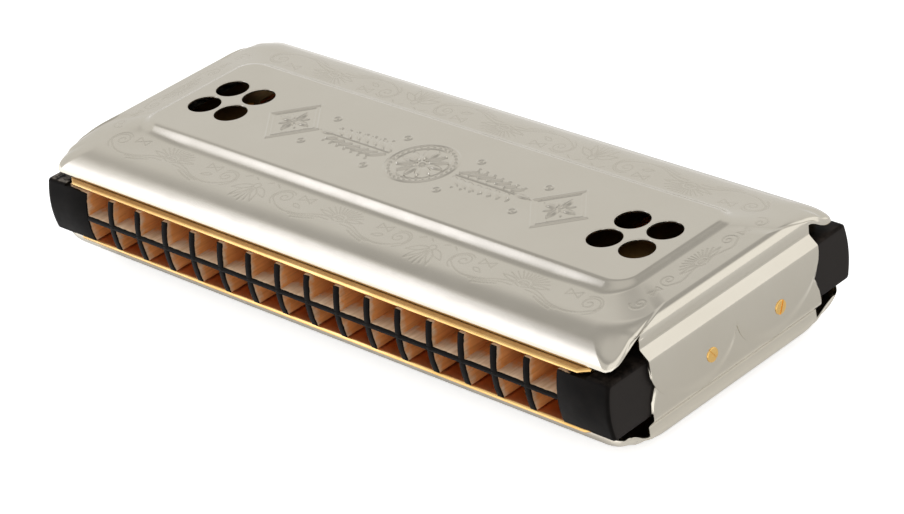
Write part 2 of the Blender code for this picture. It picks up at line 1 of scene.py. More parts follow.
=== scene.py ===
"""Looks of the double-sided tremolo harmonica: plated covers with a pressed border, brass
plates and reeds, a lacquered comb with bare wood in its chambers, and the studio."""
from itertools import product
from math import cos, dist, hypot, pi, radians, sin, sqrt

import bmesh
import bpy
import numpy as np
from mathutils import Matrix, Vector
from mathutils.geometry import delaunay_2d_cdt
from mathutils.kdtree import KDTree

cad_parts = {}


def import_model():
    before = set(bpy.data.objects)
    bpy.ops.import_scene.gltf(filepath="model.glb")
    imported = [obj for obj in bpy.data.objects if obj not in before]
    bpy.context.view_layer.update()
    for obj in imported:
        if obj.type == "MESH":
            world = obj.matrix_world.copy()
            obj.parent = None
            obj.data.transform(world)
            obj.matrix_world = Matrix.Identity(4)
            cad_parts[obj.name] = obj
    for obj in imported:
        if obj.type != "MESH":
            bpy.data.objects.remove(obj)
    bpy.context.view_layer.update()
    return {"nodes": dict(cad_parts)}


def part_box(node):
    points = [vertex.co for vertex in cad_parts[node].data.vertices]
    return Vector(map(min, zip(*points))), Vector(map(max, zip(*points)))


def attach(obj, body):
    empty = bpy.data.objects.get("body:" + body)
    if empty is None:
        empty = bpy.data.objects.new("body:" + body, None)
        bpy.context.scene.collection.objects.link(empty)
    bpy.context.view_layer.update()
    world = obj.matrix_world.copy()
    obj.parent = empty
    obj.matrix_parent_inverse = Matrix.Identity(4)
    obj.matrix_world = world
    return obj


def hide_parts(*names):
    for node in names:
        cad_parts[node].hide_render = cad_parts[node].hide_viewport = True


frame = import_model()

MM = 0.001
BODY = "harmonica_body"

# Places taken from the frame, in metres
comb_low, comb_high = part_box("comb")
plate_low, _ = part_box("front_top_reed_plate")
_, cover_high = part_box("top_cover")
MIDDLE = (comb_low.z + comb_high.z) / 2
PANEL_Z = cover_high.z - MIDDLE
OUTER_FLAP = cover_high.x
SKIRT_Y = cover_high.y
COMB_END = comb_high.x
COMB_NOSE = comb_high.y

# Cover, in metres from the harmonica's middle
SHEET = 0.00035
INNER_FLAP = OUTER_FLAP - SHEET - 0.00004
LIP_Z = 0.0114
SKIRT_Z = 0.00665
PANEL_X = 0.06205
PANEL_Y = 0.01395
PANEL_CORNER = 0.0034
PANEL_MARGIN = 0.00015
PANEL_SLOPE = 0.0020
PANEL_TILT = (radians(39.5), radians(31))
PANEL_CREST = 0.0012
PANEL_STEEP = 0.0005
PANEL_FOOT = 0.0020
BORDER_TILT = (radians(5), radians(6.5))
END_SLOPE_SHARE = 0.58
END_LIP_Z = 0.0118
LIP_X = COMB_END - 0.0028
LIP_Y = 0.0220
LIP_CORNER = 0.0066
SKIRT_CORNER = 0.0022
END_ROLL = 0.0022
END_HOLLOW = 0.00008
END_HOLLOW_Z = 0.0079
FLAP_START_Z = 0.0060
CUT_BACK = 0.30
CUT_BACK_END_Y = 0.0298
PINCH_RADIUS = 0.0070
PINCH_DEPTH = 0.00025
FLAP_Y = 0.0229
FLAP_SHOULDER = 0.0045
FLAP_BOTTOM = 0.0060
FLAP_PRESS = 0.00030
LOBE_Y = 0.0095
OUTER_NOTCH_Z = 0.0025
INNER_NOTCH_Z = -0.0030
DIMPLE_DEPTH = 0.00016
DIMPLE_RADIUS = 0.0026
HOLE_RADIUS = 0.00335
HOLE_SPACING = 0.0076
HOLE_CLUSTER_X = 0.05255
HOLE_EDGE = 0.00010
HOLE_MARGIN = 0.00012
COVER_SHARP = 62

# Spacing of the mesh where the pressed ornament needs it
ALONG_STEP = 0.00019
ACROSS_STEP = 0.00019
RELIEF_STEP = 0.00016
STROKE_STEP = 0.00007

# Ornament
GROOVE_DEPTH = 0.00003
GROOVE_HALF = 0.00016
PALMETTE_PITCH = 0.0461
PALMETTE_X = (-0.0473, -0.0012, 0.0449)
SHORT_HALF = 8
END_GAP = 0.0002
END_SQUASH = 0.72
RELIEF_X = 0.0428
RELIEF_Y = 0.0090
RELIEF_GAIN = 3.0

# Comb
HOLE_PITCH = 0.0078
COLUMNS = 16
DIVIDER = 0.0014
WEB = 0.0011
WALL_BACK = 0.027
NOSE_EDGE_Y = 0.0320
BLOCK_Z = (comb_high.z - comb_low.z) / 2
SEAT_Z = 0.0052
RAIL_Y = 0.0082
SEAT_X = 0.06825
EDGE_ROUND = 0.00014
BLOCK_ROUND = 0.0006
BLOCK_CORNER = 0.0007
SIDE_STEPS = 8

# Reed plates
PLATE_EASE = 0.00046
PLATE_RIM = 0.0016
INNER_FACE_Z = plate_low.z - MIDDLE

# Screws
HEAD_SHARE = 0.42
HEAD_EDGE = 0.00016
HEAD_SINK = 0.00022
SHANK = (0.00075, -0.00012, -0.004, -0.0044)
SLOT = (0.00038, 0.01, 0.00044)

# Camera, from the photograph's perspective
CAMERA_AT = Vector((0.408892, -0.366007, 0.294298 + MIDDLE))
CAMERA_AIM = Vector((0.01181, -0.00676, MIDDLE))
CAMERA_ROLL = radians(8.56)
CAMERA_LENS = 132.11

# Light
PAPER = (0.76, 0.76, 0.76)
PAPER_SEEN = 0.62
FRONT_GLOW = 0.73
SIDE_GLOW = 0.22
LEFT_GLOW = (0.02, 0.22)
WALL_LEVELS = (0.81, 0.49)
OVERHEAD_LEVEL = 0.22
FAR_WALL_LEVEL = 1.23
WINDOW_LEVEL = 2.05
WINDOW_SLANT = 0.25
WINDOW_COLOUR = (0.96, 0.98, 1.09)

HALF_TURN_X = Matrix.Rotation(pi, 4, "X")
LIFT = Matrix.Translation((0, 0, MIDDLE))


# Node helpers

class Nodes:
    """Builds the node tree of a new material or world."""

    def __init__(self, name, kind="materials", coordinates="Object"):
        self.owner = getattr(bpy.data, kind).new(name)
        self.owner.use_nodes = True
        self.tree = self.owner.node_tree
        self.shader = self.tree.nodes.get("Principled BSDF")
        self.coordinates = self.add("ShaderNodeTexCoord").outputs
        self.place = self.coordinates[coordinates]

    def plug(self, value, socket):
        """Link a socket, or set a number, a vector or a colour; None changes nothing."""
        if isinstance(value, bpy.types.NodeSocket):
            self.tree.links.new(value, socket)
        elif value is not None:
            socket.default_value = (*value, 1.0) if socket.type == "RGBA" else value

    def add(self, kind, *values, **named):
        """A node with values for its first inputs, and inputs or settings by name."""
        node = self.tree.nodes.new(kind)
        for key, value in named.items():
            if key in node.inputs:
                self.plug(value, node.inputs[key])
            else:
                setattr(node, key, value)
        for value, socket in zip(values, node.inputs):
            self.plug(value, socket)
        return node

    def split(self, value):
        return self.add("ShaderNodeSeparateXYZ", value).outputs

    def math(self, operation, *values, clamp=False):
        return self.add("ShaderNodeMath", *values, operation=operation, use_clamp=clamp).outputs[0]

    def plus(self, first, second):
        return self.math("ADD", first, second)

    def times(self, first, second):
        return self.math("MULTIPLY", first, second)

    def noise(self, scale, detail=3.0, roughness=0.55, stretch=None):
        place = self.place
        if stretch:
            place = self.add("ShaderNodeMapping", place, Scale=stretch).outputs[0]
        node = self.add("ShaderNodeTexNoise", place, Scale=scale, Detail=detail, Roughness=roughness)
        return node.outputs["Fac"]

    def spread(self, value, low, high, to_low=0.0, to_high=1.0, curve="LINEAR"):
        return self.add("ShaderNodeMapRange", value, low, high, to_low, to_high,
                        interpolation_type=curve).outputs["Result"]

    def step(self, *values):
        return self.spread(*values, curve="SMOOTHSTEP")

    def mix(self, share, first, second):
        node = self.add("ShaderNodeMix", share, data_type="RGBA")
        self.plug(first, node.inputs["A"])
        self.plug(second, node.inputs["B"])
        return node.outputs["Result"]

    def bump(self, height, distance, strength, under=None):
        return self.add("ShaderNodeBump", Height=height, Distance=distance, Strength=strength,
                        Normal=under).outputs["Normal"]

    def attribute(self, name):
        return self.add("ShaderNodeAttribute", attribute_name=name).outputs["Fac"]

    def finish(self, colour, roughness, normal=None, metallic=1.0):
        named = {"Base Color": colour, "Roughness": roughness, "Metallic": metallic, "Normal": normal}
        for key, value in named.items():
            self.plug(value, self.shader.inputs[key])
        return self.owner


def nickel_material():
    """Polished nickel plate: slightly wavy, faint rubbed marks, dull in its grooves."""
    n = Nodes("nickel")
    rub = n.noise(900.0, 2.0, stretch=(0.15, 1.0, 1.0))
    groove = n.attribute("groove")
    bare = n.mix(n.spread(n.noise(60.0, 4.0), 0.3, 0.7), (0.632, 0.588, 0.500), (0.655, 0.612, 0.525))
    colour = n.mix(n.times(groove, 0.20), bare, (0.40, 0.355, 0.28))
    rough = n.plus(n.spread(n.noise(220.0), 0.3, 0.7, 0.14, 0.18), n.spread(rub, 0.35, 0.75, 0.0, 0.03))
    rough = n.plus(rough, n.times(groove, 0.15))
    waves = n.bump(n.noise(70.0, 1.0), 0.00003, 0.5)
    grain = n.bump(n.noise(2600.0, 2.0), 0.000004, 0.5, under=waves)
    return n.finish(colour, rough, grain)


def nickel_inside_material():
    """The dull unpolished inner face of a cover, its dark colour painted shade from inside the cover."""
    n = Nodes("nickel_inside_painted_shade")
    # Painted shade: the inner face is coloured dark, as the shade inside the cover would make it.
    shaded_tone = n.mix(n.noise(160.0, 4.0), (0.16, 0.145, 0.12), (0.26, 0.235, 0.19))
    return n.finish(shaded_tone, n.spread(n.noise(400.0), 0.3, 0.7, 0.38, 0.5))


def plate_material():
    """Brass strip: bright along its edges as painted highlight, dull on its faces as painted shade, and
    brown as painted shade where it closes the chambers.
    """
    n = Nodes("plate_brass")
    patch = n.spread(n.noise(140.0, 4.0, 0.6), 0.35, 0.72)
    # Painted light: up or down faces take the duller shaded colour and the edges the brighter lit colour;
    # the inner face over the chambers takes the brown shaded colour.
    face = n.spread(n.math("ABSOLUTE", n.split(n.coordinates["Normal"])["Z"]), 0.75, 0.97)
    place = n.split(n.place)
    off_middle = n.math("ABSOLUTE", n.math("SUBTRACT", place["Z"], MIDDLE))
    inner = n.spread(off_middle, INNER_FACE_Z + 0.0004, INNER_FACE_Z + 0.0002)
    # Lit and shaded copies of the brass: bright for the painted highlight of the edges, dull and the brown
    # mix for painted shade.
    bright = n.mix(patch, (1.00, 0.66, 0.27), (0.88, 0.53, 0.18))
    dull = n.mix(patch, (0.70, 0.42, 0.16), (0.56, 0.30, 0.095))
    shade_brown = n.mix(patch, (0.72, 0.36, 0.20), (0.54, 0.245, 0.125))
    colour = n.mix(face, bright, n.mix(inner, dull, shade_brown))
    line = n.noise(1500.0, 2.0, stretch=(0.4, 1.0, 1.0))
    bared = n.spread(n.math("ABSOLUTE", place["Y"]), 0.0300, 0.0306, 0.10, 0.28)
    rough = n.plus(n.spread(patch, 0.0, 1.0, 0.22, 0.30), n.times(face, bared))
    return n.finish(colour, rough, n.bump(line, 0.000005, 0.5))


def brass_material(name, light, deep, rough_low, rough_high, streak=(1.0, 1.0, 1.0)):
    """Brass with patches of tarnish and fine streaks from its finishing."""
    n = Nodes(name)
    patch = n.spread(n.noise(120.0, 4.0, 0.6), 0.35, 0.72)
    line = n.noise(1500.0, 2.0, stretch=streak)
    rough = n.plus(n.spread(patch, 0.0, 1.0, rough_low, rough_high), n.spread(line, 0.3, 0.8, 0.0, 0.06))
    return n.finish(n.mix(patch, light, deep), rough, n.bump(line, 0.000006, 0.6))


def comb_material():
    """Black lacquer outside, worn to the wood at the corners, and bare wood in the chambers: paler near the
    openings and on upward faces, partly dust and partly painted light, and warm orange deeper in as painted
    shade with a painted warm reflection of the brass.
    """
    n = Nodes("lacquered_comb")
    depth = n.attribute("depth")
    ragged = n.spread(n.noise(700.0), 0.3, 0.7, -0.00009, 0.00009)
    inside = n.spread(n.plus(depth, ragged), 0.00024, 0.00036)
    # Upward faces keep the pale colour deeper in: partly dust, partly painted light falling on them.
    dust_and_light_on_tops = n.spread(n.split(n.coordinates["Normal"])["Z"], 0.6, 0.9, 0.0, 0.0026)
    # Painted shade: deeper into a chamber the wood turns from pale to a warm orange, standing for shade and
    # warm light reflected from the brass.
    shade_depth = n.plus(depth, n.spread(n.noise(700.0), 0.3, 0.7, -0.0007, 0.0007))
    deep_shade_share = n.spread(n.math("SUBTRACT", shade_depth, dust_and_light_on_tops), 0.0002, 0.0016)
    grain = n.noise(420.0, 4.0, 0.6, stretch=(1.0, 0.12, 1.0))
    fibre = n.noise(2400.0, 2.0, stretch=(1.0, 0.06, 1.0))
    pale = n.mix(n.spread(grain, 0.3, 0.7), (0.68, 0.52, 0.36), (0.52, 0.36, 0.225))
    # The warm orange colour is painted shade with painted reflected brass light.
    warm_shaded_wood = n.mix(n.spread(grain, 0.3, 0.7), (0.76, 0.345, 0.118), (0.58, 0.225, 0.064))
    wood = n.mix(deep_shade_share, pale, warm_shaded_wood)
    wood = n.mix(n.spread(fibre, 0.45, 0.8, 0.0, 0.35), wood, (0.24, 0.105, 0.036))
    cloud = n.spread(n.noise(300.0, 4.0), 0.35, 0.75)
    black = n.mix(cloud, (0.0026, 0.0021, 0.0018), (0.0064, 0.0051, 0.0043))
    black = n.mix(n.attribute("sawn"), black, (0.027, 0.0235, 0.0215))
    wear = n.attribute("wear")
    worn = n.math("MULTIPLY", wear, n.spread(n.noise(600.0, 4.0, 0.65), 0.36, 0.66), clamp=True)
    bare = n.mix(n.spread(wear, 0.45, 0.85), (0.045, 0.034, 0.027), (0.30, 0.265, 0.225))
    colour = n.mix(inside, n.mix(worn, black, bare), wood)
    rough = n.plus(n.spread(n.noise(500.0), 0.3, 0.7, 0.30, 0.42), n.times(worn, 0.3))
    rough = n.plus(rough, n.times(inside, 0.28))
    ridges = n.bump(n.noise(900.0, stretch=(1.0, 0.10, 1.0)), 0.00003, 0.5)
    n.plug(0.035, n.shader.inputs["Specular IOR Level"])
    return n.finish(colour, rough, ridges, metallic=0.0)


# Mesh helpers

def smooth_step(value):
    value = np.clip(value, 0, 1)
    return value * value * (3 - 2 * value)


def stack(*columns):
    """Columns of numbers side by side; a single number fills its whole column."""
    return np.column_stack(np.broadcast_arrays(*columns))


def cos_sin(degrees):
    return cos(radians(degrees)), sin(radians(degrees))


def circle(centre, radius, count):
    angles = np.arange(count) * 2 * pi / count
    return stack(centre[0] + radius * np.cos(angles), centre[1] + radius * np.sin(angles))


def spline(points, count):
    """A smooth curve through all points but the first and the last, which only lead it."""
    result = []
    for k in range(1, len(points) - 2):
        p0, p1, p2, p3 = points[k - 1:k + 3]
        for t in np.linspace(0, 1, count, endpoint=False):
            result.append(0.5 * (2 * p1 + (p2 - p0) * t + (2 * p0 - 5 * p1 + 4 * p2 - p3) * t * t
                                 + (3 * p1 - p0 - 3 * p2 + p3) * t ** 3))
    return np.array(result + [points[-2]])


def bridge(bm, rows, closed=False):
    """Faces between rows of vertices."""
    for a, b in zip(rows, rows[1:]):
        for k in range(len(a) if closed else len(a) - 1):
            after = (k + 1) % len(a)
            bm.faces.new((a[k], b[k], b[after], a[after]))


def new_mesh(bm, name):
    """A mesh of what was built."""
    mesh = bpy.data.meshes.new(name)
    bm.to_mesh(mesh)
    bm.free()
    return mesh


def dress(mesh, sharp, *materials):
    """Materials, and smooth shading up to a sharp angle in degrees."""
    for material in materials:
        mesh.materials.append(material)
    mesh.shade_smooth()
    mesh.set_sharp_from_angle(angle=radians(sharp))


def new_object(name, data):
    """An object in the scene for a mesh, a light or a camera."""
    obj = bpy.data.objects.new(name, data)
    bpy.context.scene.collection.objects.link(obj)
    return obj


# Cover

class Perimeter:
    """Stations round a cover that its rings share, those of its flaps from one side to the other."""

    def __init__(self, step):
        reach = SKIRT_Y - SKIRT_CORNER
        part = FLAP_Y / reach
        long_u = self.even(-1, 1, 2 * (LIP_X - LIP_CORNER) / step)
        corner_u = self.even(0, 1, LIP_CORNER * 1.8 / step)
        side_u = self.even(-1, -part, 8)
        flap_u = self.even(-part, part, 2 * (LIP_Y - LIP_CORNER) * 1.2 / step)
        end_u = np.concatenate([side_u[:-1], flap_u, -side_u[::-1][1:]])
        self.flap_y = flap_u * reach
        stretches = (("long", long_u), ("corner", corner_u), ("end", end_u), ("turn", corner_u))
        self.kinds = [(kind, side, u[:-1]) for side in (1, -1) for kind, u in stretches]
        starts = np.cumsum([0] + [len(u) for _, _, u in self.kinds])
        self.count = starts[-1]
        self.flaps = {side: start + len(side_u) - 1 + np.arange(len(flap_u))
                      for side, start in ((1, starts[2]), (-1, starts[6]))}

        def rounding(v):
            return smooth_step(np.cos(v * pi / 2) ** 2)

        def beside_flap(u):
            return smooth_step((np.abs(u) - part) / (1 - part))

        self.share = self.each(np.zeros_like, np.ones_like, rounding)
        self.hang = self.each(np.zeros_like, lambda u: 1 - 0.8 * beside_flap(u),
                              lambda v: 0.2 * rounding(v))
        self.low = self.each(lambda u: 0.35 * smooth_step((np.abs(u) - 0.80) / 0.20), np.ones_like,
                             lambda v: 0.35 + 0.65 * smooth_step(1 - v))
        self.reach = self.cut_back()

    def each(self, long, end, turn):
        """A value for each station: along a long side, along an end, or round a corner from the end."""
        rules = {"long": long, "end": end, "turn": turn, "corner": lambda u: turn(1 - u)}
        return np.concatenate([rules[kind](u) for kind, _, u in self.kinds])

    def cut_back(self):
        """Share of the roll that is left at each station; it is snipped beside the flaps."""
        x, y = self.ring(LIP_X, SKIRT_Y, SKIRT_CORNER)
        near = np.clip((CUT_BACK_END_Y - np.abs(y)) / (CUT_BACK_END_Y - FLAP_Y), 0, 1)
        hand = np.where(x * y < 0, 1.0, 0.1)
        reach = 1 - CUT_BACK * near * hand * (np.abs(x) > LIP_X - SKIRT_CORNER)
        reach[np.append(self.flaps[1], self.flaps[-1])] = 1.0
        return reach

    @staticmethod
    def even(low, high, count):
        return np.linspace(low, high, max(2, int(round(count)) + 1))

    def ring(self, half_x, half_y, corner):
        """Plan places of a ring."""
        xs, ys, first = [], [], 0
        sizes = [np.broadcast_to(size, self.count) for size in (half_x, half_y, corner)]
        for kind, side, u in self.kinds:
            half_x, half_y, corner = (size[first:first + len(u)] for size in sizes)
            first += len(u)
            flat_x, flat_y = half_x - corner, half_y - corner
            if kind == "long":
                x, y = u * flat_x, -half_y
            elif kind == "end":
                x, y = half_x, u * flat_y
            else:
                front, angle = (1, u * pi / 2) if kind == "turn" else (-1, (u - 1) * pi / 2)
                x = flat_x + corner * np.cos(angle)
                y = front * flat_y + corner * np.sin(angle)
            xs.append(side * x)
            ys.append(side * y)
        return np.concatenate(xs), np.concatenate(ys)

    def flat(self, half_x, half_y, corner, height):
        return stack(*self.ring(half_x, half_y, corner), height)

    def roll(self, angle, inset=0.0):
        """A ring of the rolled edge; the inset moves it into the sheet."""
        angle = angle * self.reach
        out, down = np.sin(angle), np.cos(angle)
        half_x = LIP_X + (END_ROLL - inset) * out
        half_y = LIP_Y + (SKIRT_Y - LIP_Y - inset) * out
        corner = LIP_CORNER + (SKIRT_CORNER - LIP_CORNER) * out ** 3
        long_z = SKIRT_Z + (LIP_Z - SKIRT_Z - inset) * down
        end_z = END_LIP_Z - END_ROLL + (END_ROLL - inset) * down
        return self.flat(half_x, half_y, corner, long_z + (end_z - long_z) * self.hang)


def slope_fall(out, tilt, low_tilt):
    """How far the panel's side has fallen at a distance out: a round crest, then a longer round foot."""
    crest, beyond = min(out, PANEL_CREST), max(out - PANEL_CREST, 0)
    fall = -np.log(np.cos(tilt * crest / PANEL_CREST)) / tilt * PANEL_CREST
    fall += np.tan(tilt) * min(beyond, PANEL_STEEP)
    left = 1 - max(beyond - PANEL_STEEP, 0) / PANEL_FOOT
    here = low_tilt + (tilt - low_tilt) * left
    return fall + PANEL_FOOT / (tilt - low_tilt) * (np.log(np.cos(here)) - np.log(np.cos(tilt)))


def flap_edge(y, notch):
    """Height of a flap's lower edge: two lobes that meet in a notch."""
    across = np.abs(y)
    outer = np.clip((across - LOBE_Y) / (FLAP_Y - LOBE_Y), 0, 1)
    inner = np.clip((LOBE_Y - across) / LOBE_Y, 0, 0.99)
    low = FLAP_SHOULDER - (FLAP_SHOULDER + FLAP_BOTTOM) * np.sqrt(1 - outer ** 2)
    lobe = notch - (notch + FLAP_BOTTOM) * np.sqrt(1 - inner ** 2)
    return np.where(across >= LOBE_Y, low, lobe)


def flap_section(face):
    """Smooth section of an end from its roll down to where its flap hangs straight."""
    roll = (LIP_X + END_ROLL, END_LIP_Z - END_ROLL)
    hollow_x = roll[0] - END_HOLLOW
    out = face - hollow_x
    return spline(np.array([
        roll, roll, (roll[0] - END_HOLLOW * 0.6, 0.0086), (hollow_x, END_HOLLOW_Z),
        (hollow_x + out * 0.06, END_HOLLOW_Z - 0.00028), (hollow_x + out * 0.24, END_HOLLOW_Z - 0.00062),
        (hollow_x + out * 0.76, FLAP_START_Z + 0.00042), (hollow_x + out * 0.95, FLAP_START_Z + 0.00006),
        (face, FLAP_START_Z - 0.00045), (face, FLAP_START_Z - 0.0011)]), 5)[1:]


# Ornament of the border, as strokes in plan

def arc_points(centre, radius, start, end, count=24, squash=1.0):
    angles = np.radians(np.linspace(start, end, count))
    return stack(centre[0] + radius * np.cos(angles), centre[1] + squash * radius * np.sin(angles))


def spiral_points(centre, outer, inner, start, turns, count=60):
    angles = np.radians(start) + np.linspace(0, 2 * pi * turns, count)
    radii = outer * (inner / outer) ** np.linspace(0, 1, count)
    return stack(centre[0] + radii * np.cos(angles), centre[1] + radii * np.sin(angles))


def curve_points(*points):
    """A smooth curve through a few points."""
    points = np.array(points, float)
    return spline(np.vstack([2 * points[0] - points[1], points, 2 * points[-1] - points[-2]]), 30)


def leaf_points(base, angle, length, width):
    """Outline of a narrow leaf from its base."""
    t = np.linspace(0, 1, 16)
    side = width / 2 * np.sin(pi * t ** 0.8)
    x = np.append(length * t, length * t[::-1])
    y = np.append(side, -side[::-1])
    c, s = cos_sin(angle)
    return stack(base[0] + x * c - y * s, base[1] + x * s + y * c)


def bow_points(x, y, reach):
    """Two small triangles that meet at a point."""
    return [np.array([(x, y), (x + out, y - 0.9), (x + out, y + 0.9), (x, y)]) for out in (-reach, reach)]


def palmette():
    """A fan of rays over a small eye, drawn about x = 0 with y growing away from the panel, in mm."""
    strokes = []
    for k in range(13):
        angle = -170 + 160 * k / 12
        c, s = cos_sin(angle)
        near = 1.5 + 0.25 * abs(c)
        far = 3.6 + 1.6 * abs(c) ** 2
        if k in (0, 12):
            strokes.append(leaf_points((1.6 * c, 5.1), angle, far - 1.2, 0.9))
        else:
            strokes.append(np.array([(near * c, 5.2 + near * s), (far * c, 5.2 + far * s)]))
    strokes.append(arc_points((0, 4.9), 0.95, 0, 360, 28, 0.62))
    return strokes + [arc_points((0, 5.9), 1.5, 200, 340, 16, 0.6)]


def half_unit():
    """From a palmette at x = 0 to the middle between two palmettes, in mm."""
    middle = PALMETTE_PITCH / MM / 2
    return [
        curve_points((0.3, 6.2), (2.4, 5.6), (5.0, 6.2), (8.2, 7.6), (11.8, 8.1), (14.6, 7.4), (17.0, 5.8)),
        curve_points((1.6, 6.5), (4.2, 6.7), (7.6, 7.9), (10.2, 8.4)),
        curve_points((4.4, 7.4), (6.8, 8.3), (9.2, 8.9)),
        spiral_points((14.9, 4.6), 2.5, 0.45, 30, -1.55),
        curve_points((17.0, 5.8), (17.4, 4.4), (17.05, 5.85)),
        spiral_points((14.9, 4.6), 3.1, 2.1, 70, -0.55, 30),
        *bow_points(10.3, 3.2, 1.5),
        leaf_points((11.7, 5.4), 160, 2.4, 0.9),
        curve_points((middle - 4.6, 2.6), (middle - 3.0, 1.6), (middle - 1.4, 2.4)),
        leaf_points((middle - 0.6, 4.4), 148, 4.4, 1.5),
        leaf_points((middle - 0.5, 4.9), 120, 4.6, 1.1),
        np.array([(middle - 0.1, 5.3), (middle - 1.2, 9.0)]),
        np.array([(middle, 5.3), (middle, 9.4)]),
        arc_points((middle, 4.1), 0.75, 0, 360, 20)]


def end_unit():
    """Ornament of half an end, from its middle at x = 0 to the corner, in mm."""
    return palmette() + [
        curve_points((0.3, 6.2), (2.4, 5.6), (4.6, 6.1), (7.0, 6.6), (9.4, 5.4)),
        spiral_points((8.0, 3.9), 2.1, 0.4, 50, -1.5),
        *bow_points(12.0, 4.4, 1.1),
        spiral_points((16.2, 4.6), 2.2, 0.4, -60, 1.4)]


def border_strokes():
    """All strokes of the border in plan, in metres; a half unit near a corner is cut short."""
    foot_x, foot_y = PANEL_X + PANEL_SLOPE + END_GAP, PANEL_Y + PANEL_SLOPE
    fan, half, end = palmette(), half_unit(), end_unit()
    strokes = []
    for side in (1, -1):
        for centre in PALMETTE_X:
            shapes = [(1, shape) for shape in fan]
            for flip in (1, -1):
                fits = abs(centre + flip * PALMETTE_PITCH) < LIP_X
                shapes += [(flip, shape) for shape in (half if fits else half[:SHORT_HALF])]
            for flip, shape in shapes:
                x = flip * shape[:, 0] * MM + centre
                strokes.append(side * stack(x, -(foot_y + shape[:, 1] * MM)))
        for flip, shape in product((1, -1), end):
            strokes.append(stack(side * (foot_x + shape[:, 1] * MM * END_SQUASH), flip * shape[:, 0] * MM))
    return strokes


def groove_depths(x, y, strokes):
    """Share of the full groove depth at each place, from the nearest stroke."""
    samples = []
    for stroke in strokes:
        for first, second in zip(stroke[:-1], stroke[1:]):
            count = max(1, int(float(np.hypot(*(second - first))) / STROKE_STEP))
            samples.append(first + (second - first) * (np.arange(count)[:, None] / count))
        samples.append(stroke[-1:])
    samples = np.vstack(samples)
    tree = KDTree(len(samples))
    for k, (px, py) in enumerate(samples):
        tree.insert((px, py, 0), k)
    tree.balance()
    near = np.array([tree.find((px, py, 0))[2] for px, py in zip(x, y)])
    return smooth_step(1.15 - near / GROOVE_HALF * 0.75)


class Relief:
    """Raised motif of the panel, in mm: where shapes overlap, the highest stands."""

    def __init__(self, x, y):
        self.x, self.y, self.height = x, y, np.zeros_like(x)

    def off(self, centre):
        return self.x - centre[0], self.y - centre[1]

    def put(self, shape):
        np.maximum(self.height, shape, out=self.height)

    def leaf(self, centre, angle, length, width, height):
        """A pointed leaf with a sunk vein."""
        c, s = cos_sin(angle)
        x, y = self.off(centre)
        u = (x * c + y * s) / (length / 2)
        v = y * c - x * s
        half = width / 2 * np.clip(1 - u * u, 1e-6, 1) ** 0.75
        body = np.clip(1 - (v / half) ** 2, 0, 1) * (np.abs(u) < 1)
        vein = np.exp(-(v / 0.13) ** 2) * (np.abs(u) < 0.8)
        self.put(height * body * (1 - 0.55 * vein))

    def ring(self, centre, radius, half_width, height):
        distance = np.hypot(*self.off(centre)) - radius
        self.put(height * np.exp(-(distance / half_width) ** 2))

    def bead(self, centre, radius, height):
        distance = np.hypot(*self.off(centre)) / radius
        self.put(height * np.clip(1 - distance ** 2, 0, 1) ** 0.8)

    def lozenge(self, centre, half_x, half_y, height):
        x, y = self.off(centre)
        distance = np.abs(x) / half_x + np.abs(y) / half_y
        rim = np.exp(-((distance - 1.0) / 0.045) ** 2)
        inner = np.exp(-((distance - 0.84) / 0.030) ** 2)
        self.put(height * np.maximum(rim, 0.6 * inner))


def panel_relief(x, y):
    """Height of the pressed motif above the panel: a rosette, leaf sprays and lozenges, all in mm."""
    relief = Relief(x, y)
    relief.ring((0, 0), 7.1, 0.22, 0.075)
    relief.ring((0, 0), 5.7, 0.16, 0.055)
    relief.bead((0, 0), 0.95, 0.12)
    for k in range(32):
        c, s = cos_sin(11.25 * k)
        relief.bead((6.4 * c, 6.4 * s), 0.36, 0.07)
    for k in range(12):
        c, s = cos_sin(30 * k)
        relief.leaf((3.2 * c, 3.2 * s), 30 * k, 3.9, 1.35, 0.11)
    for side in (-1, 1):
        for k in range(7):
            along = side * (9.4 + 2.1 * k)
            droop = 0.04 * (k - 2.0) ** 2
            for up in (-1, 1):
                relief.leaf((along + side, up * (2.0 - droop)), side * up * 36, 4.0 - 0.22 * k, 1.25, 0.105)
                relief.bead((along + side * 1.9, up * (3.9 - 0.2 * k)), 0.36, 0.07)
        relief.put(0.07 * np.exp(-(y / 0.17) ** 2) * (np.abs(x - side * 16.4) < 7.8))
        relief.leaf((side * 25.6, 0), 0, 3.6, 1.4, 0.10)
        lozenge_x = side * 34.6
        relief.lozenge((lozenge_x, 0), 6.6, 7.6, 0.075)
        for angle in (0, 90, 180, 270):
            c, s = cos_sin(angle)
            relief.leaf((lozenge_x + 2.1 * c, 2.1 * s), angle, 3.4, 1.5, 0.11)
            relief.leaf((lozenge_x + 1.5 * (c - s), 1.5 * (c + s)), angle + 45, 2.0, 0.8, 0.08)
        relief.bead((lozenge_x, 0), 0.6, 0.11)
        for end, (eye_x, eye_y) in product((-1, 1), ((9.6, 6.1), (27.6, 5.0))):
            relief.ring((side * eye_x, end * eye_y), 0.8, 0.14, 0.055)
            relief.bead((side * eye_x, end * eye_y), 0.34, 0.06)
    return relief.height


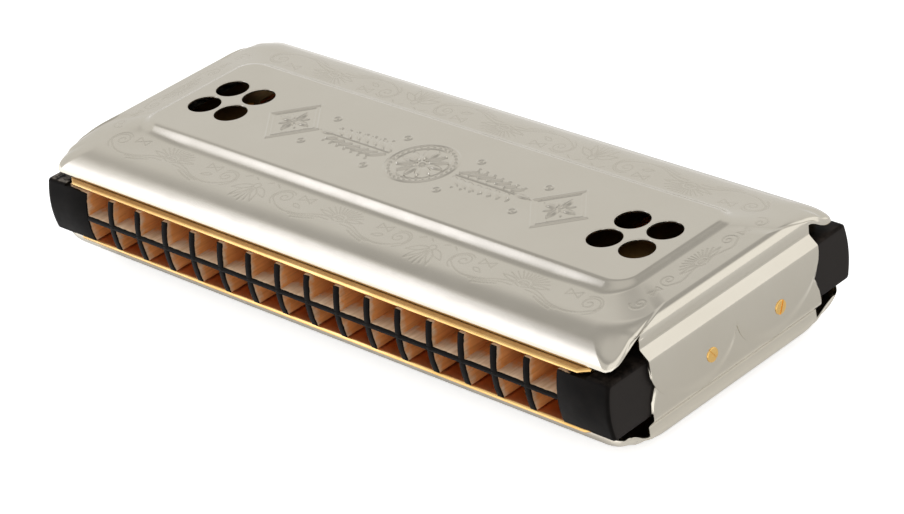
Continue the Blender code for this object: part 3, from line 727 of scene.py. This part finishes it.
class Sheet:
    """Gathers vertices and faces, in metres from the harmonica's middle."""

    def __init__(self):
        self.points, self.faces, self.grooves, self.inside = [], [], [], []
        self.total = 0

    def add_points(self, points, groove=None):
        first = self.total
        self.points.append(np.asarray(points, float))
        self.grooves.append(np.zeros(len(points)) if groove is None else groove)
        self.total += len(points)
        return np.arange(first, self.total)

    def add_faces(self, faces, inside=False):
        self.faces.extend(faces)
        self.inside.extend([inside] * len(faces))

    def add_quads(self, a, b, closed=True, inside=False, chosen=slice(None)):
        """Join two rows of vertex numbers."""
        if closed:
            a, b = np.append(a, a[0]), np.append(b, b[0])
        self.add_faces(stack(a[:-1], b[:-1], b[1:], a[1:])[chosen].tolist(), inside)

    def object(self, name, matrix, *materials):
        mesh = bpy.data.meshes.new(name)
        mesh.from_pydata(np.vstack(self.points).tolist(), [], self.faces)
        attribute = mesh.attributes.new("groove", "FLOAT", "POINT")
        attribute.data.foreach_set("value", np.concatenate(self.grooves))
        mesh.polygons.foreach_set("material_index", np.array(self.inside, np.int32))
        mesh.transform(matrix)
        mesh.update()
        bm = bmesh.new()
        bm.from_mesh(mesh)
        bmesh.ops.remove_doubles(bm, verts=bm.verts, dist=2e-7)
        bmesh.ops.dissolve_degenerate(bm, edges=bm.edges, dist=1e-8)
        bm.to_mesh(mesh)
        bm.free()
        dress(mesh, COVER_SHARP, *materials)
        return new_object(name, mesh)


def panel_patch(sheet, rim, corner, height, inside):
    """The panel's flat part inside a rim of vertex numbers, with its sound holes and its motif."""
    points, edges, numbers, circles = [], [], [], []

    def add_loop(places, ids):
        """A closed line that the triangles keep."""
        first, count = len(points), len(places)
        points.extend(Vector(place) for place in places)
        edges.extend((first + k, first + (k + 1) % count) for k in range(count))
        numbers.extend(ids)

    rim_points = np.vstack(sheet.points)[rim][:, :2]
    add_loop(rim_points, rim)
    segments = 24 if inside else 72
    radius = HOLE_RADIUS if inside else HOLE_RADIUS + HOLE_EDGE
    for end, dx, dy in product((-1, 1), (-0.5, 0.5), (-0.5, 0.5)):
        centre = (end * HOLE_CLUSTER_X + dx * HOLE_SPACING, dy * HOLE_SPACING)
        ring = circle(centre, radius, segments)
        ids = sheet.add_points(stack(*ring.T, height))
        circles.append((centre, ids))
        ring = ring + (ring - centre) * (HOLE_MARGIN / radius)
        around = sheet.add_points(stack(*ring.T, height))
        sheet.add_quads(*((around, ids) if inside else (ids, around)), inside=inside)
        add_loop(ring, around)
    if not inside:
        xs = np.linspace(-RELIEF_X, RELIEF_X, int(2 * RELIEF_X / RELIEF_STEP))
        ys = np.linspace(-RELIEF_Y, RELIEF_Y, int(2 * RELIEF_Y / RELIEF_STEP))
        grids = np.meshgrid(xs, ys, indexing="ij")
        grid_x, grid_y = (grid.ravel() for grid in grids)
        relief = panel_relief(grid_x / MM, grid_y / MM) * MM * RELIEF_GAIN
        ids = sheet.add_points(stack(grid_x, grid_y, height + relief)).reshape(len(xs), len(ys))
        for row, after in zip(ids, ids[1:]):
            sheet.add_quads(after, row, closed=False)
        flat_x, flat_y, border = (
            np.concatenate([grid[:-1, 0], grid[-1, :-1], grid[:0:-1, -1], grid[0, :0:-1]])
            for grid in (*grids, ids))
        add_loop(stack(flat_x, flat_y), border)
    made, _, triangles, origins, _, _ = delaunay_2d_cdt(points, edges, [], 0, 1e-9)
    half_x, half_y = rim_points.max(axis=0)
    faces = []
    for triangle in triangles:
        middle = sum((made[k] for k in triangle), Vector((0, 0))) / len(triangle)
        x, y = abs(middle.x), abs(middle.y)
        in_grid = not inside and x < RELIEF_X and y < RELIEF_Y
        in_hole = any(dist(middle, centre) < (radius + HOLE_MARGIN) * 0.995 for centre, _ in circles)
        in_panel = hypot(max(x - half_x + corner, 0), max(y - half_y + corner, 0)) < corner
        if in_panel and not in_grid and not in_hole:
            corners = [numbers[origins[k][0]] for k in triangle]
            faces.append(corners[::-1] if inside else corners)
    sheet.add_faces(faces, inside)
    return circles


def screw_places():
    """Name, end and middle of each cover screw, in metres from the harmonica's middle."""
    places = []
    for where in ("right_front", "right_rear", "left_rear", "left_front"):
        name = "cover_screw_" + where
        low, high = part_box(name)
        end = 1 if "right" in name else -1
        places.append((name, end, (low.y + high.y) / 2, (low.z + high.z) / 2 - MIDDLE))
    return places


def dimple(y, z, side, turn):
    """How far a flap is drawn in round its screws."""
    depth = np.zeros(np.broadcast(y, z).shape)
    for _, end, screw_y, screw_z in screw_places():
        if end == side:
            off = np.hypot(y - turn * screw_y, z - turn * screw_z)
            depth = depth + DIMPLE_DEPTH * np.exp(-(off / DIMPLE_RADIUS) ** 2)
    return depth


def crumple(points, steep):
    """Small pinches of the roll at the corners, where the flaps were folded down."""
    x, y = np.abs(points[:, 0]), np.abs(points[:, 1])
    sign_x, sign_y = np.sign(points[:, 0]), np.sign(points[:, 1])
    around = np.arctan2(y - (SKIRT_Y - PINCH_RADIUS), x - (LIP_X + END_ROLL - PINCH_RADIUS))
    at_corner = np.exp(-((around - 0.25) / 0.40) ** 2) * smooth_step((x - LIP_X + 0.0030) / 0.003)
    hand = 0.35 * sign_x * sign_y
    wave = np.sin(around * 6.5 + 0.6 + hand) + 0.35 * np.sin(around * 12 + 2.1 + 3 * hand)
    amount = PINCH_DEPTH * wave * at_corner * smooth_step((steep - 0.25) / 0.9)
    inward = -np.abs(amount)
    return stack(sign_x * np.cos(around) * inward, sign_y * np.sin(around) * inward, amount)


def cover(name, face, notch, turn, strokes):
    """A whole cover as one closed sheet; its turn is -1 where it lies under the comb."""
    line = Perimeter(ALONG_STEP)
    sheet = Sheet()
    rows = []

    def add_row(points, groove=None):
        rows.append(sheet.add_points(points, groove))
        if len(rows) > 1:
            sheet.add_quads(rows[-2], rows[-1])

    tilt, border = (low + (high - low) * line.share for low, high in (PANEL_TILT, BORDER_TILT))
    ends = np.cumsum([0, PANEL_CREST, PANEL_STEEP, PANEL_FOOT])
    outs = np.concatenate([np.linspace(0, ends[1], 12)[:-1], np.linspace(ends[1], ends[2], 4)[:-1],
                           np.linspace(ends[2], ends[3], 16)])
    size = 1 - (1 - END_SLOPE_SHARE) * line.low
    for out in outs:
        foot = line.flat(PANEL_X + out * END_SLOPE_SHARE, PANEL_Y + out, PANEL_CORNER + out * 0.6,
                         PANEL_Z - slope_fall(out, tilt, border) * size)
        add_row(foot)
    lip = line.roll(border)
    count = int((LIP_X - PANEL_X - outs[-1] * END_SLOPE_SHARE) / ACROSS_STEP)
    plan = [foot + (lip - foot) * k / count for k in range(1, count)]
    shares = np.concatenate([np.linspace(0, 60, 38), [64, 68, 72, 76, 80, 84, 87, 90]]) / 90
    angles = [border + (pi / 2 - border) * share for share in shares]
    every = np.vstack(plan + [line.roll(angle) for angle in angles])
    steep = np.concatenate([np.zeros(len(plan) * line.count)] + angles)
    every += crumple(every, steep)
    depth = groove_depths(every[:, 0], every[:, 1], strokes)
    depth = depth * smooth_step((radians(52) - steep) / radians(8))
    every[:, 2] -= depth * GROOVE_DEPTH
    for first in range(0, len(every), line.count):
        add_row(every[first:first + line.count], depth[first:first + line.count])

    inner_rows = [line.roll(angle, SHEET) for angle in np.radians([90, 78, 66, 54, 42, 30, 15, 0])]
    inner_ids = [sheet.add_points(row) for row in inner_rows]
    chain = [rows[-1]]
    for share, drop in ((0.12, 0.22), (0.5, 0.34), (0.88, 0.22)):
        edge = line.roll(radians(90), SHEET * share)
        edge[:, 2] -= SHEET * drop
        chain.append(sheet.add_points(edge))
    chain.append(inner_ids[0])
    free = np.ones(line.count, bool)
    for at_flap in line.flaps.values():
        free[at_flap[:-1]] = False
    for upper, lower in zip(chain, chain[1:]):
        sheet.add_quads(upper, lower, chosen=free)
    for out, height in ((PANEL_SLOPE, LIP_Z - SHEET), (-SHEET * 2, PANEL_Z - SHEET)):
        inner_ids.append(sheet.add_points(line.flat(
            PANEL_X - SHEET + out, PANEL_Y - SHEET + out, PANEL_CORNER + max(out, 0), height)))
    for upper, lower in zip(inner_ids, inner_ids[1:]):
        sheet.add_quads(upper, lower, inside=True)

    flat_x, flat_y, corner = (full - PANEL_MARGIN for full in (PANEL_X, PANEL_Y, PANEL_CORNER))
    margin = sheet.add_points(line.flat(flat_x, flat_y, corner, PANEL_Z))
    sheet.add_quads(margin, rows[0])
    outer_circles = panel_patch(sheet, margin, corner, PANEL_Z, inside=False)
    panel_patch(sheet, inner_ids[-1], PANEL_CORNER, PANEL_Z - SHEET, inside=True)
    for centre, previous in outer_circles:
        for wider, drop in ((0.00003, 0.00003), (0.0, 0.0001), (0.0, SHEET)):
            ring = circle(centre, HOLE_RADIUS + wider, len(previous))
            current = sheet.add_points(stack(*ring.T, PANEL_Z - drop))
            sheet.add_quads(current, previous)
            previous = current

    for side, at_flap in line.flaps.items():
        flap(sheet, line, side, (face, notch), rows[-1][at_flap], inner_ids[0][at_flap], turn)
    return sheet.object(name, LIFT if turn > 0 else LIFT @ HALF_TURN_X, NICKEL, NICKEL_INSIDE_SHADED)


def flap(sheet, line, side, shape, outer_top, inner_top, turn):
    """The end below the roll and its hanging flap, with both faces and the cut edge."""
    face, notch = shape
    ys = line.flap_y * side
    section = flap_section(face)
    edge = flap_edge(ys, notch)
    start = section[-1][1]
    rows_xz = list(section)
    for t in np.arange(1, 33) / 32:
        rows_xz.append((face - FLAP_PRESS * smooth_step((t - 0.72) / 0.28), start + (edge - start) * t))
    outer, inner = [outer_top], [inner_top]
    for k, (x, z) in enumerate(rows_xz):
        sunk = dimple(ys, z, side, turn) * (k >= len(section))
        outer.append(sheet.add_points(stack(side * (x - sunk), ys, z)))
    points = np.vstack(sheet.points)
    for k in range(1, len(outer)):
        moved = points[outer[k]]
        tangent = (points[outer[min(k + 1, len(outer) - 1)]] - points[outer[k - 1]])[:, [0, 2]]
        tangent /= np.maximum(np.linalg.norm(tangent, axis=1, keepdims=True), 1e-12)
        moved[:, 0] += side * tangent[:, 1] * SHEET
        moved[:, 2] -= side * tangent[:, 0] * SHEET
        inner.append(sheet.add_points(moved))
    for k in range(len(outer) - 1):
        sheet.add_quads(outer[k], outer[k + 1], closed=False)
        sheet.add_quads(inner[k + 1], inner[k], closed=False, inside=True)
    sheet.add_quads(outer[-1], inner[-1], closed=False)
    for column, order in ((0, -1), (-1, 1)):
        sides = [np.array([row[column] for row in rows]) for rows in (outer, inner)]
        sheet.add_quads(*sides[::order], closed=False)


# Comb

def nose_y(z):
    """How far out the comb's rounded face stands at a height from the middle."""
    sagitta = COMB_NOSE - NOSE_EDGE_Y
    radius = (BLOCK_Z ** 2 + sagitta ** 2) / (2 * sagitta)
    return COMB_NOSE - radius + sqrt(radius ** 2 - z ** 2)


def comb():
    """The wooden comb: dividers, middle wall, rail and end blocks."""
    bm = bmesh.new()
    depth, wear, sawn = (bm.verts.layers.float.new(name) for name in ("depth", "wear", "sawn"))
    first_hole = HOLE_PITCH * COLUMNS / 2 - DIVIDER / 2
    for k in range(1, COLUMNS):
        x = (k - COLUMNS / 2) * HOLE_PITCH
        divider(bm, depth, x - DIVIDER / 2, x + DIVIDER / 2)
    for end in (-1, 1):
        low, high = sorted((end * first_hole, end * SEAT_X))
        divider(bm, depth, low, high, soft=(end > 0, end < 0))
        end_block(bm, wear, sawn, end)
    for front in (-1, 1):
        web(bm, depth, first_hole, front)
    size = Matrix.Diagonal((2 * SEAT_X, 2 * RAIL_Y, 2 * SEAT_Z, 1))
    for vert in bmesh.ops.create_cube(bm, size=1, matrix=size)["verts"]:
        vert[depth] = 0.01
    bmesh.ops.recalc_face_normals(bm, faces=bm.faces)
    mesh = new_mesh(bm, "comb_wood")
    mesh.transform(LIFT)
    dress(mesh, 50, COMB)
    return new_object("comb_wood", mesh)


def divider(bm, depth, x_low, x_high, soft=(True, True)):
    """A wall between chambers, from nose to nose, with lacquered ends and bare sides."""
    steps = 12
    backs = (0.0004, 0.0009, 0.0016, 0.0035, 0.006, WALL_BACK)
    low_edge, high_edge = (EDGE_ROUND if is_soft else 0.0 for is_soft in soft)
    profile = [(x_low, back) for back in backs[::-1]]
    profile += [(x_low, low_edge), (x_low + low_edge * 0.3, low_edge * 0.3), (x_low + EDGE_ROUND, 0.0)]
    profile += [(x_high - EDGE_ROUND, 0.0), (x_high - high_edge * 0.3, high_edge * 0.3)]
    profile += [(x_high, back) for back in (high_edge, *backs)]
    zs = [SEAT_Z * (2 * k / steps - 1) for k in range(steps + 1)]
    for front in (-1, 1):
        columns = []
        for x, back in profile:
            columns.append([bm.verts.new((x, front * (nose_y(z) - back), z)) for z in zs])
            for vert in columns[-1]:
                vert[depth] = back if abs(x) < HOLE_PITCH * COLUMNS / 2 else 0.0
        bridge(bm, columns)
        for row in (0, -1):
            bm.faces.new([column[row] for column in columns])


def web(bm, depth, half_x, front):
    """The wall between the upper and the lower chambers."""
    backs = (WALL_BACK, 0.0036, 0.0015, 0.0008, EDGE_ROUND)
    profile = [(-WEB / 2, back) for back in backs]
    profile += [(-WEB / 2 + EDGE_ROUND, 0.0), (WEB / 2 - EDGE_ROUND, 0.0)]
    profile += [(WEB / 2, back) for back in backs[::-1]]
    rows = []
    for z, back in profile:
        y = front * (nose_y(z) - back)
        rows.append([bm.verts.new((float(x), y, z)) for x in np.linspace(-half_x, half_x, 65)])
        for vert in rows[-1]:
            vert[depth] = back
    bridge(bm, rows)


def end_block(bm, wear, sawn, end):
    """A solid end of the comb, lacquered all over, rubbed along its top edges, its end face sawn."""
    x_face, x_in = end * COMB_END, end * SEAT_X
    places = [(x_in + (x_face - end * BLOCK_ROUND - x_in) * k / 8, 0.0, 0.0) for k in range(9)]
    for k in range(1, 6):
        angle = pi / 2 * k / 5
        x = x_face - end * BLOCK_ROUND * (1 - sin(angle))
        places.append((x, BLOCK_ROUND * (1 - cos(angle)), 0.15 * (k == 4) + 0.9 * (k == 5)))
    places.append((x_face, BLOCK_ROUND + 0.0005, 1.0))
    rows = []
    for x, inset, cut in places:
        row = []
        for y, z, corner in block_outline(inset):
            vert = bm.verts.new((x, y, z))
            vert[sawn] = cut
            vert[wear] = (0.40 if end > 0 else 0.95) * corner * (1 - cut)
            row.append(vert)
        rows.append(row)
    bridge(bm, rows, closed=True)
    bm.faces.new(rows[0])
    bm.faces.new(rows[-1])


def block_outline(inset):
    """Section of an end block with small round corners, as (y, z, how near a corner)."""
    radius = BLOCK_CORNER
    top = BLOCK_Z - inset
    points = []
    for front, upper in ((-1, -1), (1, -1), (1, 1), (-1, 1)):
        corner_y = front * (nose_y(top - radius) - radius - inset)
        corner_z = upper * (top - radius)
        piece = []
        for k in range(6):
            angle = pi / 2 * k / 5
            piece.append((corner_y + front * radius * sin(angle),
                          corner_z + upper * radius * cos(angle), max(0.0, 1 - k / 3)))
        for k in range(1, SIDE_STEPS):
            z = upper * (top - radius) * (1 - k / SIDE_STEPS)
            piece.append((front * (nose_y(z) - inset), z, 0.0))
        points += piece[::-1] if front == upper else piece
    return points


# Screws

def cover_screw(name, end, y, z):
    """A round-head slotted screw, with a soft crown and a cut slot."""
    low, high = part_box(name)
    radius = (high.y - low.y) / 2
    height = ((high.x if end > 0 else -low.x) - OUTER_FLAP) * HEAD_SHARE
    section = [(radius * 0.9 * k / 5, height * (1 - 0.16 * (k / 5) ** 2)) for k in range(6)]
    for k in range(1, 5):
        angle = pi / 2 * k / 4
        edge_z = height * 0.84 - HEAD_EDGE * (1 - cos(angle))
        section.append((radius * (0.9 + 0.1 * sin(angle)), edge_z))
    shank, neck_z, point_z, tip_z = SHANK
    section += [(radius, neck_z), (shank, neck_z), (shank, point_z), (0.0, tip_z)]
    bm = bmesh.new()
    verts = [bm.verts.new((r, 0, h)) for r, h in section]
    for a, b in zip(verts, verts[1:]):
        bm.edges.new((a, b))
    bmesh.ops.spin(bm, geom=bm.verts[:] + bm.edges[:], cent=(0, 0, 0), axis=(0, 0, 1), angle=2 * pi,
                   steps=48, use_merge=True)
    bmesh.ops.remove_doubles(bm, verts=bm.verts, dist=1e-7)
    bmesh.ops.recalc_face_normals(bm, faces=bm.faces)
    obj = new_object(name + "_head", new_mesh(bm, name + "_head"))
    bm = bmesh.new()
    cut = Matrix.Translation((0, 0, height)) @ Matrix.Diagonal((*SLOT, 1))
    bmesh.ops.create_cube(bm, size=1, matrix=cut)
    cutter = new_object("slot_cutter", new_mesh(bm, "slot_cutter"))
    cutter.matrix_world = Matrix.Rotation(-radians(37 + 61 * y / MM % 90), 4, "Z")
    modifier = obj.modifiers.new("slot", "BOOLEAN")
    modifier.object = cutter
    modifier.operation = "DIFFERENCE"
    modifier.solver = "EXACT"
    bpy.context.view_layer.update()
    mesh = bpy.data.meshes.new_from_object(obj.evaluated_get(bpy.context.evaluated_depsgraph_get()))
    obj.modifiers.clear()
    obj.data = mesh
    bpy.data.objects.remove(cutter)
    seat = Matrix.Translation((end * (OUTER_FLAP - HEAD_SINK), y, z + MIDDLE))
    mesh.transform(seat @ Matrix.Rotation(end * pi / 2, 4, "Y"))
    mesh.materials.clear()
    dress(mesh, 35, SCREW_BRASS)
    return obj


# Reed plates

def eased_plate(node_name):
    """The reed plate with its long outer edges eased, so that they catch the light."""
    name = node_name + "_eased"
    mesh = frame["nodes"][node_name].data.copy()
    mesh.name = name
    bm = bmesh.new()
    bm.from_mesh(mesh)
    bmesh.ops.remove_doubles(bm, verts=bm.verts, dist=1e-7)
    bmesh.ops.dissolve_limit(bm, angle_limit=radians(0.5), verts=bm.verts, edges=bm.edges)
    rim = max(abs(vert.co.y) for vert in bm.verts)
    chosen = [edge for edge in bm.edges if all(abs(vert.co.y) > rim - PLATE_RIM for vert in edge.verts)
              and edge.is_manifold and edge.calc_face_angle() > radians(60)
              and abs(edge.verts[0].co.z - edge.verts[1].co.z) < 1e-5]
    bmesh.ops.bevel(bm, geom=chosen, offset=PLATE_EASE, segments=5, profile=0.5, affect="EDGES",
                    clamp_overlap=True)
    bm.to_mesh(mesh)
    bm.free()
    mesh.materials.clear()
    dress(mesh, 40, PLATE_BRASS)
    for face in mesh.polygons:
        face.use_smooth = abs(face.normal.z) < 0.999
    return new_object(name, mesh)


# Studio

def camera():
    view = (CAMERA_AIM - CAMERA_AT).normalized()
    turn = view.to_track_quat("-Z", "Y").to_matrix().to_4x4()
    data = bpy.data.cameras.new("camera")
    data.lens = CAMERA_LENS
    data.sensor_width = 36.0
    data.sensor_fit = "HORIZONTAL"
    data.clip_start = 0.01
    data.clip_end = 20.0
    obj = new_object("camera", data)
    obj.matrix_world = Matrix.Translation(CAMERA_AT) @ turn @ Matrix.Rotation(-CAMERA_ROLL, 4, "Z")
    bpy.context.scene.camera = obj


def soft_box(name, place, size, power):
    """A square lamp that faces the harmonica and isn't mirrored in it."""
    data = bpy.data.lights.new(name, "AREA")
    data.size = size
    data.energy = power
    obj = new_object(name, data)
    obj.location = place
    obj.rotation_euler = (-Vector(place)).to_track_quat("-Z", "Y").to_euler()
    obj.visible_glossy = False


def floor():
    """White paper: it keeps the shadow; in reflections only it glows as painted light, brighter towards the
    window side at the front and the left, and beside the harmonica's ends where its shadow falls.
    """
    bpy.ops.mesh.primitive_plane_add(size=6.0, location=(0, 0, -0.0002))
    obj = bpy.context.active_object
    obj.name = "floor"
    n = Nodes("floor")
    n.finish(PAPER, 0.9, metallic=0.0)
    rays = n.add("ShaderNodeLightPath").outputs
    x, y, _ = n.split(n.place)
    # Painted light: glow seen only in reflections, towards the front, beside the ends where the harmonica's
    # shadow falls, and towards the left.
    front = n.spread(y, -0.030, -0.040, 0.0, FRONT_GLOW)
    length = n.math("ABSOLUTE", x)
    beside = n.times(n.spread(length, 0.064, 0.070), n.spread(length, 0.082, 0.077, 0.0, SIDE_GLOW))
    left = n.spread(x, -0.10, -0.14, *LEFT_GLOW)
    mirrored = n.times(rays["Is Glossy Ray"], n.plus(n.plus(front, beside), left))
    seen = n.times(rays["Is Camera Ray"], PAPER_SEEN)
    glow = n.add("ShaderNodeEmission", Strength=n.plus(mirrored, seen))
    total = n.add("ShaderNodeAddShader", n.shader.outputs[0], glow.outputs[0])
    n.plug(total.outputs[0], n.tree.nodes["Material Output"].inputs["Surface"])
    obj.data.materials.append(n.owner)


def world():
    """A pale room, dimmer overhead, with a tall bright window on the harmonica's left front."""
    n = Nodes("studio", "worlds", "Generated")
    bpy.context.scene.world = n.owner
    x, y, z = n.split(n.place)
    room = n.plus(n.step(z, 0.61, 0.74, *WALL_LEVELS), n.step(z, 0.80, 0.97, 0.0, OVERHEAD_LEVEL))
    far_wall = n.times(n.step(x, 0.16, 0.34), n.step(z, 0.90, 0.68))
    room = n.plus(n.times(room, n.math("SUBTRACT", 1.0, far_wall)), n.times(far_wall, FAR_WALL_LEVEL))
    slant = n.times(z, WINDOW_SLANT)
    right_edge = n.step(n.plus(x, slant), -0.441, -0.468)
    left_edge = n.step(n.math("SUBTRACT", x, slant), -0.890, -0.848)
    window = n.times(n.step(y, 0.03, -0.20), n.times(right_edge, left_edge))
    level = n.plus(n.times(room, n.math("SUBTRACT", 1.0, window)), n.times(window, WINDOW_LEVEL))
    seen = n.add("ShaderNodeLightPath").outputs["Is Camera Ray"]
    unseen = n.math("SUBTRACT", 1.0, seen)
    background = n.tree.nodes["Background"].inputs
    n.plug(n.plus(n.times(level, unseen), seen), background["Strength"])
    n.plug(n.mix(n.times(window, unseen), (1.0, 1.0, 1.0), WINDOW_COLOUR), background["Color"])


def place(obj, slot, *nodes):
    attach(obj, BODY)
    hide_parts(*nodes)


NICKEL = nickel_material()
NICKEL_INSIDE_SHADED = nickel_inside_material()
COMB = comb_material()
PLATE_BRASS = plate_material()
REED_BRASS = brass_material("reed_brass", (0.72, 0.46, 0.16), (0.55, 0.31, 0.09), 0.28, 0.38,
                            (1.0, 0.08, 1.0))
SCREW_BRASS = brass_material("screw_brass", (0.92, 0.60, 0.21), (0.80, 0.47, 0.14), 0.20, 0.30)

strokes = border_strokes()
top = cover("top_cover_sheet", OUTER_FLAP, OUTER_NOTCH_Z, 1, strokes)
place(top, "cover_nickel", "top_cover")
bottom = cover("bottom_cover_sheet", INNER_FLAP, INNER_NOTCH_Z, -1, strokes)
place(bottom, "cover_nickel", "bottom_cover")
place(comb(), "comb_lacquer", "comb")
for name, end, y, z in screw_places():
    place(cover_screw(name, end, y, z), "screw_brass", name)
for name in list(frame["nodes"]):
    if name.endswith("_reed_plate"):
        place(eased_plate(name), "plate_brass", name)
for name, node in frame["nodes"].items():
    if not node.hide_render:
        is_reed = "reeds" in name or "_reed_" in name and "plate" not in name
        node.data.materials[0] = REED_BRASS if is_reed else PLATE_BRASS

camera()
floor()
world()
soft_box("window", (-0.95, -0.85, 0.55), 0.9, 4.0)
soft_box("ceiling", (0.1, 0.1, 1.5), 0.8, 3.0)
bpy.context.scene.view_settings.view_transform = "Standard"
